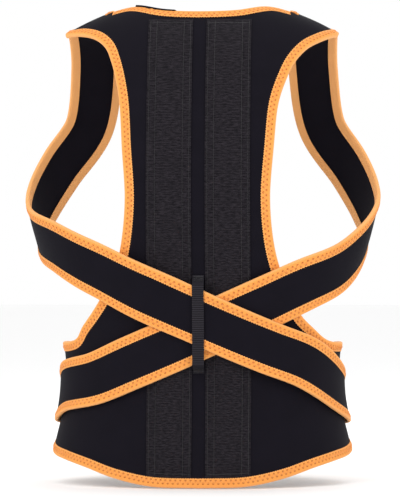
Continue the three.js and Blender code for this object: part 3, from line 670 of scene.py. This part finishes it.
def bind(name, spot, start, end, body, replaced=(), blended=None):
    """A folded tape and its zigzag stitch on an edge; spot(distance, in, up) gives points beside it."""
    s = distances(start, end, TAPE_STEP)
    phase = 2 * np.pi * s / ZIGZAG
    margin = np.repeat(TAPE_SECTION[:, :1], len(s), 1)
    height = np.repeat(TAPE_SECTION[:, 1:], len(s), 1)
    near = int(np.argmin(np.abs(TAPE_SECTION[OUTER_FROM:, 0] - ROW_NEAR))) + OUTER_FROM
    far = int(np.argmin(np.abs(TAPE_SECTION[OUTER_FROM:, 0] - ROW_FAR))) + OUTER_FROM
    height[near] -= DIMPLE * np.maximum(0, np.cos(phase)) ** 2
    height[far] -= DIMPLE * np.maximum(0, -np.cos(phase)) ** 2
    margin[-1] += SCALLOP * np.cos(2 * phase)
    margin[-2] += SCALLOP * 0.4 * np.cos(2 * phase)
    signed = np.where(np.arange(len(TAPE_SECTION))[:, None] < OUTER_FROM, -margin, margin)
    uvs = np.stack([np.broadcast_to(s, signed.shape), signed], -1) / METRE
    tape = piece_from(name, spot(s, margin, height), uvs, orange_tape, TAPE, sharp=60)

    first, last = (int(limit / ZIGZAG * 2) for limit in (min(start, end), max(start, end)))
    knots = np.arange(first, last, 0.25)
    sway = np.abs((knots % 2) - 1)  # 1 over the near row's holes, 0 over the far row's
    over = np.interp(knots % 1, [0, 0.25, 0.5, 0.75, 1], [-0.05, 0.34, 0.40, 0.34, -0.05])
    path_in = lerp(ROW_FAR, ROW_NEAR, sway)
    path = spot(knots * ZIGZAG / 2, path_in, lerp(FAR_UP, NEAR_UP, sway) + over)
    thread = thread_along(f"{name}_stitches", path, THREAD, orange_thread)
    for piece in (tape, thread):
        if blended:
            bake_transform(piece)
        else:
            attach(piece, body)
    if replaced:
        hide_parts(*replaced)
    return tape


def line_spot(line, side, lift=None):
    """Where a tape's points go beside one of the bound edges."""

    def spot(s, margin, height):
        s = np.broadcast_to(s, np.shape(margin))
        place, inward = inward_of(line, side, s)
        rough = place + inward * margin[..., None]
        return laid(rough, height + (lift(rough) if lift else 0.0))

    return spot


def hem_spot(s, margin, height):
    """The same along the hem, with distances counted from the spine, the right side's above zero."""
    s = np.broadcast_to(s, np.shape(margin))
    left, right = (line_spot(edges[side], side)(np.abs(s), margin, height) for side in (-1, 1))
    return np.where((s > 0)[..., None], right, left)


bind("neck_binding_tape", line_spot(neck, 0), 0.0, neck.length, "back", ["neck_binding"])
bind("hem_binding_tape", hem_spot, -edges[-1].hem_split, edges[1].hem_split, "back", ["hem_binding"])
for side, word in ((-1, "left"), (1, "right")):
    edge = edges[side]
    bind(
        f"{word}_armhole_binding_tape", line_spot(edge, side), edge.top_split, edge.length, "back",
        [f"{word}_armhole_binding"],
    )


# ---- Pockets and stays ----
# Two strips of grey knitted elastic run from the hem to the neck beside the spine, sewn down each side. A
# sprung steel stay with a moulded tip on each end lies in each, and shows as a low ridge.
pocket_low, pocket_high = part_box("left_pocket")
POCKET_SIDES = -pocket_high.x * METRE, -pocket_low.x * METRE
POCKET_TOP = pocket_high.z * METRE
POCKET_CLOTH, CHANNEL_HALF = 1.0, 12.5
POCKET_FLAT, POCKET_RAISED = CLOTH_HIGH + 0.15 + POCKET_CLOTH, 7.0
HEM_TAPE, HEM_GAP = 10.0, 0.7  # a pocket starts this far above the hem: the tape's width, and a gap
STITCH_STEP, STITCH_RISE = 0.75, np.array([-0.12, 0.16, 0.22, 0.16])  # down into the cloth, and up over it
POCKET_MIDDLE, POCKET_HALF = sum(POCKET_SIDES) / 2, (POCKET_SIDES[1] - POCKET_SIDES[0]) / 2


def pocket_finish():
    """Grey-black knitted elastic: broken cross ribs and a mottled surface."""
    knit = Finish("pocket_elastic", roughness=0.8, sheen=0.01, specular=0.06)
    ribs = knit.v.wave(0.0026)
    fine = knit.u.wave(0.0009)
    broken = knit.noise(420.0, 3.0, stretch=(0.55, 1.6))
    speckle = knit.noise(1500.0, 2.0)
    mottle = knit.noise(60.0, 3.0)
    weave = (broken * 0.55 + speckle * 0.45).between(0.40, 0.64)
    base = knit.colour((0.0050, 0.0043, 0.0060), (0.026, 0.022, 0.027), weave)
    base = knit.colour(base, (0.036, 0.032, 0.038), (ribs * fine * broken) * 0.6)
    base = knit.colour(base, (0.009, 0.008, 0.010), mottle.between(0.45, 0.75) * 0.4)
    height = ribs * 0.45 + fine * 0.2 + broken * 0.8 + speckle * 0.3
    return knit.wear(base, broken * 0.2 + 0.68, height, 0.6, 0.0006)


def black_thread_finish():
    thread = Finish("black_thread", roughness=0.45, sheen=0.1, specular=0.5)
    twist = (thread.u + thread.v * 0.35).wave(0.0006)
    base = thread.colour((0.004, 0.004, 0.005), (0.013, 0.012, 0.015), twist)
    return thread.wear(base, twist * 0.2 + 0.38, twist, 0.6, 0.0001)


pocket_elastic, black_thread = pocket_finish(), black_thread_finish()


def pocket_floor(x):
    return hem(bearing_of(x, HEM_BACK)) + HEM_TAPE + HEM_GAP


def pocket_height(x, z):
    """The pocket's outer surface over the trunk: sewn flat at its edges, raised over the stay."""
    off = np.abs(np.abs(x) - POCKET_MIDDLE)
    raised = 1 - smooth(off, CHANNEL_HALF - 1.0, CHANNEL_HALF + 3.0)
    ends = smooth(z, pocket_floor(x), pocket_floor(x) + 12) * (1 - smooth(z, POCKET_TOP - 22, POCKET_TOP - 3))
    pucker = 0.12 * np.sin(z / 4.1 + 1.7 * np.sin(x / 5)) * smooth(off, 12, 16)
    crown = 0.25 * (1 - (off / CHANNEL_HALF) ** 2) * raised
    selvedge = 0.3 * smooth(off, POCKET_HALF - 1.6, POCKET_HALF - 0.8)
    return lerp(POCKET_FLAT, POCKET_RAISED - 0.25 + crown, raised * ends) + pucker + selvedge


def on_pocket(x, z, up=0.0):
    rough = on_back(x, z)
    return laid(rough, pocket_height(x, z) + panel_swell(rough) + up)


def sew(name, path, radius):
    """Black thread along a path, fixed to the back."""
    thread = thread_along(name, path, radius, black_thread)
    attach(thread, "back")


def stitched(x, z):
    """A row of running stitches over a pocket."""
    return on_pocket(x, z, STITCH_RISE[np.arange(len(x)) % len(STITCH_RISE)])


for side, word in ((-1, "left"), (1, "right")):
    across = side * distances(*POCKET_SIDES, 0.9)
    up = distances(0, 1, 1 / 300)
    low = pocket_floor(np.abs(across))
    heights = lerp(low[None], POCKET_TOP, up[:, None])
    wide = np.broadcast_to(across, heights.shape)
    spots = on_pocket(wide, heights)
    uvs = cloth_uv(on_back(wide, heights))
    piece = piece_from(f"{word}_pocket_cloth", spots, uvs, pocket_elastic, POCKET_CLOTH)
    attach(piece, "back")
    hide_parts(f"{word}_pocket")
    seams = (POCKET_HALF - 2.2, CHANNEL_HALF + 1.6)
    for number, off in enumerate([*seams, *(-o for o in seams)]):
        x = side * (POCKET_MIDDLE + off)
        z = np.arange(float(pocket_floor(abs(x))) + 1.5, POCKET_TOP - 1.5, STITCH_STEP)
        sew(f"{word}_pocket_seam_{number + 1}", stitched(np.full(len(z), x), z), 0.22)
    for number, z in enumerate((POCKET_TOP - 4.0, float(pocket_floor(POCKET_MIDDLE)) + 3.5)):
        x = side * np.arange(POCKET_SIDES[0] + 1.5, POCKET_SIDES[1] - 1.5, STITCH_STEP)
        follow = (pocket_floor(np.abs(x)) - pocket_floor(POCKET_MIDDLE)) * number
        path = stitched(x, np.full(len(x), z) + follow)
        sew(f"{word}_pocket_end_seam_{number + 1}", path, 0.22)


# ---- Straps ----
# A wide neoprene strap leaves each shoulder seam, goes over the shoulder, under the arm and slantwise across
# the back, and ends at the front of the other hip. The left one lies on top where they cross.
STRAP_ON_PANEL, STRAP_ON_POCKET, STRAP_ON_STRAP = 5.7, 7.7, 13.4
TAIL_RADIUS = 12.0
EDGE_HEIGHT = NEOPRENE + 2 * INSET
OFF_SHOULDERS, OFF_FRONT = 250, 70  # above these it lies on the bare wearer, anywhere and in front
CROSSING_HALF = HALF_STRAP / math.sin(STRAP_SLOPE)  # how far either side the straps lie on each other
# Where, across the back and round the front, a strap climbs from one layer to the next.
PANEL_RAMP = -WAIST_HALF_WIDTH - 25, 33 - WAIST_HALF_WIDTH
POCKET_RAMP = POCKET_SIDES[1] + 4, POCKET_SIDES[1] + 48
CROSSING_RAMP = CROSSING_X - CROSSING_HALF - 71, CROSSING_X - CROSSING_HALF - 3
LEAVING_RAMP = CROSSING_X + CROSSING_HALF + 1, WAIST_HALF_WIDTH
CLIMB_BEARINGS = 108, 164


def right_wing_climb(bearing):
    """How far the right wing stands off the trunk where it closes over the left one."""
    return smooth(bearing, *CLIMB_BEARINGS) * (EDGE_HEIGHT + CLOSURE_LIFT)


def strap_lift(start, p):
    """How far a strap is off the trunk: over the panel and its edges, the pockets and the other strap."""
    across, off = -start * p[..., 0], np.abs(p[..., 0])
    lift = smooth(across, *PANEL_RAMP) * STRAP_ON_PANEL
    lift = lift + (1 - smooth(off, *POCKET_RAMP)) * (STRAP_ON_POCKET - STRAP_ON_PANEL)
    in_front = np.full(off.shape, STRAP_ON_PANEL)
    if start < 0:
        over = smooth(across, *CROSSING_RAMP) * (1 - smooth(across, *LEAVING_RAMP))
        lift = lift + over * (STRAP_ON_STRAP - STRAP_ON_POCKET)
        in_front = in_front + right_wing_climb(180 - bearing_of(off, p[..., 2]))
    over_shoulder = (p[..., 2] > OFF_SHOULDERS) | ((p[..., 2] > OFF_FRONT) & (p[..., 1] > 0))
    return np.where(over_shoulder, 0.0, np.where((p[..., 1] > 0) & (across > 0), in_front, lift))


def strap_spot(start):
    def spot(s, aside, height):
        s, aside = np.broadcast_arrays(s, aside)
        place, _, right = straps[start].frames(s)
        rough = place + right * aside[..., None]
        return laid(rough, height + strap_lift(start, rough))

    return spot


def along_edge(start, sign):
    """Beside one long edge of a strap: sign picks the side."""
    spot = strap_spot(start)
    return lambda s, margin, height: spot(s, sign * (HALF_STRAP - margin), height)


def round_tail(start, begin):
    """Beside the edge that runs down a strap's end piece, round its end and back."""
    spot, finish = strap_spot(start), straps[start].length
    straight, bend = finish - TAIL_RADIUS - begin, TAIL_RADIUS * math.pi / 2
    cross = STRAP_WIDTH - 2 * TAIL_RADIUS
    total = 2 * straight + 2 * bend + cross

    def half(t):
        """From the first long edge to the end's middle: place along, place aside, and the way inwards."""
        turn = np.clip((t - straight) / TAIL_RADIUS, 0, math.pi / 2)
        s = begin + np.minimum(t, straight) + TAIL_RADIUS * np.sin(turn)
        aside = HALF_STRAP - TAIL_RADIUS * (1 - np.cos(turn)) - np.maximum(0, t - straight - bend)
        return s, aside, -np.sin(turn), -np.cos(turn)

    def beside(t, margin, height):
        t = np.broadcast_to(t, np.shape(margin))
        mirrored = t > total / 2
        s, aside, in_s, in_aside = half(np.where(mirrored, total - t, t))
        sign = np.where(mirrored, -1.0, 1.0)
        return spot(s + in_s * margin, sign * (aside + in_aside * margin), height)

    return beside, total


def strap_cloth(name, start, begin, finish, rounded=False):
    """A length of one strap's foam, crowned between its bindings; a rounded one is the strap's end."""
    columns, step, reach = 23, 2.5, HALF_STRAP - INSET
    aside = np.linspace(-reach, reach, columns)
    along = distances(0, 1, step / (finish - begin))[:, None]
    radius = TAIL_RADIUS - INSET
    short = np.maximum(0, np.abs(aside) - (reach - radius))
    loss = (INSET + radius - np.sqrt(np.maximum(0, radius**2 - short**2))) if rounded else np.zeros(columns)
    s = begin + along * (finish - loss - begin)
    wide = np.broadcast_to(aside, s.shape)
    calm = 1 - (wide / reach) ** 2
    swell = 0.3 * calm * np.sin(s / 19 + 0.9 * start) * np.sin(s / 47 + wide / 20) + 0.25 * calm
    spots = strap_spot(start)(s, wide, CLOTH_HIGH + swell)
    return piece_from(name, spots, np.stack([wide, s], -1) / METRE, jersey, NEOPRENE)


def where_on(line, test):
    return float(line.lengths[np.argmax(test(line.points))])


HIP_X, TAIL_BEARING = 100, 99  # a strap's side piece starts past the first, its tail past the second
BELT_HIGH = 40  # the straps' ends lie below this
STRAP_START = 0.6  # from the shoulder seam

for start, word, hip in ((-1, "left", "right"), (1, "right", "left")):
    line, far = straps[start], -start
    at_hip = where_on(line, lambda p: (far * p[:, 0] > HIP_X) & (p[:, 1] < 0))
    low_down = line.points[:, 2] < BELT_HIGH
    bearing = 180 - bearing_of(line.points[:, 0], line.points[:, 2])
    past = low_down & (bearing >= TAIL_BEARING)
    at_side = where_on(line, lambda p: (far * p[:, 0] > HIP_X) & (p[:, 1] > 0) & past)
    hinge = (f"{hip}_wing", f"{hip}_tail")
    over_hip = ("back", hinge[0], (far * 0.16, -0.022, 0.0), (far * 0.16, 0.014, 0.0))
    over_peel = (*hinge, (far * 0.147, 0.024, 0.0), (far * 0.147, 0.050, 0.0))

    cloth = strap_cloth(f"{word}_strap_cloth", start, STRAP_START, at_hip)
    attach(cloth, "back")
    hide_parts(f"{word}_strap")
    side_cloth = strap_cloth(f"{hip}_strap_side_cloth", start, at_hip, at_side)
    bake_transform(side_cloth)
    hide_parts(f"{hip}_strap_side")
    tail_cloth = strap_cloth(f"{hip}_tail_cloth", start, at_side, line.length, rounded=True)
    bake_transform(tail_cloth)
    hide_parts(f"{hip}_tail")
    for edge_name, sign in (("inner", -start), ("outer", start)):
        bind(f"{word}_strap_{edge_name}_tape", along_edge(start, sign), STRAP_START, at_hip, "back",
             [f"{word}_strap_{edge_name}_binding"])
        bind(f"{hip}_strap_side_{edge_name}_tape", along_edge(start, sign), at_hip, at_side, None,
             [f"{hip}_strap_side_{edge_name}_binding"], over_hip)
    beside, total = round_tail(start, at_side)
    bind(f"{hip}_tail_tape", beside, 0.0, total, None,
         [f"{hip}_tail_inner_binding", f"{hip}_tail_outer_binding", f"{hip}_tail_end_binding"], over_peel)


# ---- Keeper loop ----
# A narrow band of black ribbed elastic over the crossing, sewn to the panel above and below it, so that the
# straps slide through and stay put on the spine.
keeper_low, keeper_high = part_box("keeper_loop")
KEEPER_BOTTOM, KEEPER_TOP = keeper_low.z * METRE, keeper_high.z * METRE
KEEPER_HALF = keeper_high.x * METRE - 0.6
KEEPER_THICK, KEEPER_LIFT, KEEPER_RISE, KEEPER_RIB = 1.4, 19.1, 10.0, 2.4


def keeper_finish():
    band = Finish("keeper_elastic", roughness=0.7, sheen=0.01, specular=0.08)
    ribs, threads = band.v.wave(KEEPER_RIB / METRE), band.u.wave(0.0011)
    fuzz = band.noise(1600.0, 2.0)
    weave = ribs * 0.7 + threads * 0.15 + fuzz * 0.25
    base = band.colour((0.003, 0.0026, 0.0034), (0.030, 0.027, 0.034), weave)
    return band.wear(base, fuzz * 0.2 + 0.58, ribs + threads * 0.3 + fuzz * 0.3, 0.5, 0.0003)


keeper_elastic = keeper_finish()


def keeper_height(z):
    climb = smooth(z, KEEPER_BOTTOM + 1, KEEPER_BOTTOM + KEEPER_RISE)
    climb = climb * (1 - smooth(z, KEEPER_TOP - KEEPER_RISE, KEEPER_TOP - 1))
    return lerp(CLOTH_HIGH + TUCK, KEEPER_LIFT, climb) + KEEPER_THICK


def on_keeper(x, z, up=0.0):
    ridge_up = 0.14 * np.cos(2 * np.pi * z / KEEPER_RIB)
    edge = 0.35 * smooth(np.abs(x), KEEPER_HALF - 1.2, KEEPER_HALF)
    return laid(on_back(x, z), keeper_height(z) + ridge_up - edge + up)


x = np.linspace(-KEEPER_HALF, KEEPER_HALF, 15)
z = np.linspace(KEEPER_BOTTOM, KEEPER_TOP, 320)[:, None]
wide, tall = np.broadcast_arrays(x, z)
spots = on_keeper(wide, tall)
climbed = np.concatenate([[0.0], np.cumsum(np.linalg.norm(np.diff(spots[:, 7], axis=0), axis=1))])
uvs = np.stack([wide, np.broadcast_to(climbed[:, None], wide.shape)], -1) / METRE
keeper = piece_from("keeper_band", spots, uvs, keeper_elastic, KEEPER_THICK - 0.1)
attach(keeper, "back")
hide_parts("keeper_loop")
for word, end, way in (("lower", KEEPER_BOTTOM, 1), ("upper", KEEPER_TOP, -1)):
    for row in range(3):
        t = np.arange(0, 22, 0.25)
        x = (KEEPER_HALF - 1.3) * (t / 11 - 1)
        z = end + way * (1.2 + 1.5 * row + 0.8 * np.abs((t % 2) - 1))
        path = on_keeper(x, z, 0.12 + 0.1 * np.sin(t * np.pi) ** 2)
        sew(f"keeper_{word}_tack_{row + 1}", path, 0.2)


# ---- Wings ----
# The belt goes on round the waist as two neoprene wings. The right one closes over the left at the front on
# hook and loop tape, so its end stands off the trunk.
def wing_climb(side, bearing):
    return right_wing_climb(bearing) if side > 0 else 0.0 * bearing


def wing_lift(side):
    def lift(p):
        sideways = bearing_of(p[..., 0], p[..., 2])
        front = p[..., 1] > middle(p[..., 2])
        bearing = np.where(side * p[..., 0] > 0, np.where(front, 180 - sideways, sideways), 180 + sideways)
        return wing_climb(side, bearing)

    return lift


for side, word in ((-1, "left"), (1, "right")):
    over_side = ("back", f"{word}_wing", (side * 0.16, -0.030, 0.0), (side * 0.16, 0.012, 0.0))
    end = WING_END - INSET / PER_DEGREE
    bearings = np.concatenate([
        np.linspace(SPLIT, end - WING_CORNER / PER_DEGREE, 118)[:-1],
        end - WING_CORNER / PER_DEGREE * (1 - np.sin(np.linspace(0, np.pi / 2, 16))),
    ])
    up = np.linspace(0, 1, 45)[:, None]
    bearing, up = np.broadcast_arrays(bearings, up)
    rough = wing_edge(side, bearing, up, INSET)
    slack = np.sin(up * np.pi)
    swell = 0.3 * np.sin(bearing / 9 + up * 3) * slack + 0.2 * np.sin(bearing / 4.3 + up * 5) * slack
    past_split = smooth(bearing, SPLIT, SPLIT + 12)
    spots = laid(rough, CLOTH_HIGH + swell * past_split + wing_climb(side, bearing)
                 + panel_swell(rough) * (1 - past_split))
    uvs = np.stack([side * girth(bearing), rough[..., 2]], -1) / METRE
    wing = piece_from(f"{word}_wing_cloth", spots, uvs, jersey, NEOPRENE)
    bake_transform(wing)
    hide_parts(f"{word}_wing")
    edge = edges[side]
    bind(f"{word}_wing_tape", line_spot(edge, side, wing_lift(side)), edge.hem_split, edge.top_split, None,
         [f"{word}_wing_binding"], over_side)


# ---- Closure, tabs and stays ----
# Hook tape is woven with stiff nylon hooks and loop tape with a soft brushed pile; the straps' ends carry
# hook tabs underneath. The stays are bright spring steel with moulded black tips.
def plain_finish(name, low, high, roughness, metallic=0.0, scale=900.0, bump=0.0002):
    """A finish for the small parts: a fine grain in two tones, on the part's own coordinates."""
    made = Finish(name, roughness=roughness, metallic=metallic)
    made.where = made.node("ShaderNodeTexCoord", output="Object")
    grain, patch = made.noise(scale, 3.0), made.noise(40.0, 2.0)
    base = made.colour(low, high, grain * 0.6 + patch * 0.4)
    return made.wear(base, grain * 0.25 + (roughness - 0.12), grain, 0.4, bump)


STEEL_TONES = (0.34, 0.35, 0.38), (0.52, 0.53, 0.56)
TIP_TONES = (0.012, 0.012, 0.013), (0.03, 0.03, 0.033)
HOOK_TONES = (0.006, 0.006, 0.007), (0.05, 0.05, 0.055)
LOOP_TONES = (0.008, 0.008, 0.009), (0.03, 0.029, 0.033)
stay_steel = plain_finish("stay_steel", *STEEL_TONES, 0.34, metallic=1.0, scale=260.0)
stay_tip = plain_finish("stay_tip", *TIP_TONES, 0.5)
hook_tape = plain_finish("hook_tape", *HOOK_TONES, 0.6, scale=1300.0, bump=0.0008)
loop_pile = plain_finish("loop_pile", *LOOP_TONES, 0.9, scale=700.0, bump=0.001)

small_parts = {
    stay_steel: ["left_stay", "right_stay"],
    stay_tip: [f"{side}_stay_{end}_tip" for side in ("left", "right") for end in ("top", "bottom")],
    hook_tape: ["hook_patch", "left_hook_tab", "right_hook_tab"],
    loop_pile: ["loop_patch"],
}
for finish, nodes in small_parts.items():
    for node in nodes:
        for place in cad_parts[node].material_slots:
            place.material = finish


# ---- Floor and light ----
# A plain pale floor in a pale room, with soft studio light from large panels.
FLOOR_HALF = 12.0
shape = bmesh.new()
bmesh.ops.create_grid(shape, x_segments=1, y_segments=1, size=FLOOR_HALF)
bmesh.ops.translate(shape, verts=shape.verts, vec=(0.0, 0.0, cad_box[0].z - 0.0005))
floor_mesh = bpy.data.meshes.new("floor")
shape.to_mesh(floor_mesh)
shape.free()
floor = bpy.data.objects.new("floor", floor_mesh)
bpy.context.scene.collection.objects.link(floor)
paper = bpy.data.materials.new("pale_paper")
paper.use_nodes = True
paper.node_tree.nodes["Principled BSDF"].inputs["Base Color"].default_value = (0.96, 0.96, 0.96, 1.0)
paper.node_tree.nodes["Principled BSDF"].inputs["Roughness"].default_value = 0.95
floor_mesh.materials.append(paper)


def softbox(name, spot, size, watts, target=VIEW_CENTRE):
    data = bpy.data.lights.new(name, "AREA")
    data.shape, data.size, data.size_y, data.energy = "RECTANGLE", size[0], size[1], watts
    lamp = bpy.data.objects.new(name, data)
    bpy.context.scene.collection.objects.link(lamp)
    lamp.location = spot
    lamp.rotation_euler = (target - Vector(spot)).to_track_quat("-Z", "Y").to_euler()


softbox("key_light", (-1.2, -2.2, 1.6), (1.3, 1.3), 18.0)
softbox("fill_light", (1.6, -1.9, 0.8), (1.4, 1.6), 7.0)
softbox("top_light", (0.0, 0.2, 2.4), (2.0, 2.0), 10.0)
softbox("front_light", (0.4, 2.0, 1.2), (1.6, 1.6), 10.0)
world = bpy.data.worlds.new("studio")
world.use_nodes = True
world.node_tree.nodes["Background"].inputs[0].default_value = (1.0, 1.0, 1.0, 1.0)
world.node_tree.nodes["Background"].inputs[1].default_value = 1.0
bpy.context.scene.world = world
bpy.context.scene.view_settings.view_transform = "Standard"
